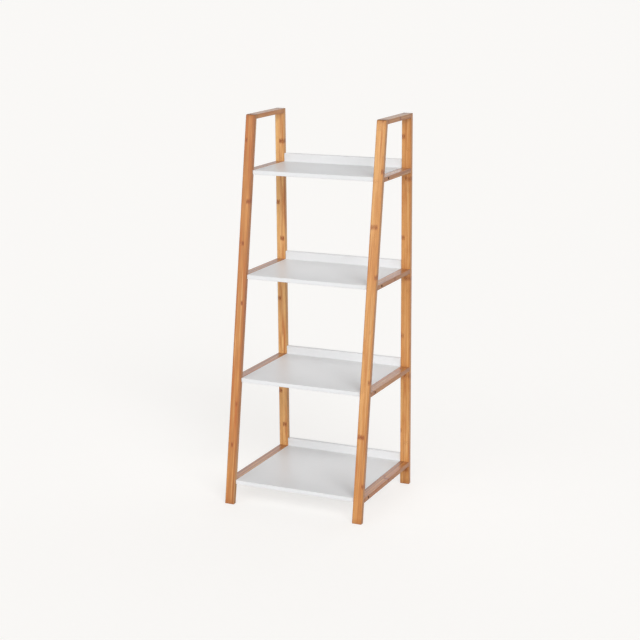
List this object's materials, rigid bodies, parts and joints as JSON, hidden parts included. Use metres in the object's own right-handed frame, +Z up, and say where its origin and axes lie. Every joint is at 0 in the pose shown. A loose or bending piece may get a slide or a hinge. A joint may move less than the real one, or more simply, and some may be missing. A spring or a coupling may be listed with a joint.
{
  "type": "ladder shelf",
  "caption": "Free-standing ladder shelf: bamboo side frames with leaning front posts and upright rear posts, joined by white lacquered shelves with raised rear lips.",
  "frame": {"origin": "on the floor, at the middle of the footprint", "axes": "+Z up, +Y towards the wall behind the shelf, +X to the right as seen from the front"},
  "size_m": [0.427, 0.3728, 1.1],
  "materials": {
    "bamboo": "strip-laminated bamboo, satin clear varnish",
    "white_lacquer": "MDF with smooth semi-gloss white lacquer",
    "dowel_wood": "plain unfinished beech",
    "dark_steel": "blackened steel, semi-matte"
  },
  "bodies": {
    "root": {"front_post_left": "bamboo", "rear_post_left": "bamboo", "top_bar_left": "bamboo", "front_post_right": "bamboo", "rear_post_right": "bamboo", "top_bar_right": "bamboo", "side_rail_1_left": "bamboo", "side_rail_2_left": "bamboo", "side_rail_3_left": "bamboo", "side_rail_4_left": "bamboo", "side_rail_1_right": "bamboo", "side_rail_2_right": "bamboo", "side_rail_3_right": "bamboo", "side_rail_4_right": "bamboo", "shelf_1": "white_lacquer", "shelf_2": "white_lacquer", "shelf_3": "white_lacquer", "shelf_4": "white_lacquer", "rear_lip_1": "white_lacquer", "rear_lip_2": "white_lacquer", "rear_lip_3": "white_lacquer", "rear_lip_4": "white_lacquer", "dowel_front_top_bar_left": "dowel_wood", "dowel_rear_top_bar_left": "dowel_wood", "dowel_front_side_rail_1_left": "dowel_wood", "dowel_rear_side_rail_1_left": "dowel_wood", "dowel_front_side_rail_2_left": "dowel_wood", "dowel_rear_side_rail_2_left": "dowel_wood", "dowel_front_side_rail_3_left": "dowel_wood", "dowel_rear_side_rail_3_left": "dowel_wood", "dowel_front_side_rail_4_left": "dowel_wood", "dowel_rear_side_rail_4_left": "dowel_wood", "dowel_front_top_bar_right": "dowel_wood", "dowel_rear_top_bar_right": "dowel_wood", "dowel_front_side_rail_1_right": "dowel_wood", "dowel_rear_side_rail_1_right": "dowel_wood", "dowel_front_side_rail_2_right": "dowel_wood", "dowel_rear_side_rail_2_right": "dowel_wood", "dowel_front_side_rail_3_right": "dowel_wood", "dowel_rear_side_rail_3_right": "dowel_wood", "dowel_front_side_rail_4_right": "dowel_wood", "dowel_rear_side_rail_4_right": "dowel_wood", "shelf_dowel_1_left": "dowel_wood", "shelf_dowel_2_left": "dowel_wood", "shelf_dowel_3_left": "dowel_wood", "shelf_dowel_4_left": "dowel_wood", "shelf_dowel_1_right": "dowel_wood", "shelf_dowel_2_right": "dowel_wood", "shelf_dowel_3_right": "dowel_wood", "shelf_dowel_4_right": "dowel_wood", "shelf_screw_1_left": "dark_steel", "shelf_screw_2_left": "dark_steel", "shelf_screw_3_left": "dark_steel", "shelf_screw_4_left": "dark_steel", "shelf_screw_1_right": "dark_steel", "shelf_screw_2_right": "dark_steel", "shelf_screw_3_right": "dark_steel", "shelf_screw_4_right": "dark_steel"}
  },
  "joints": []
}
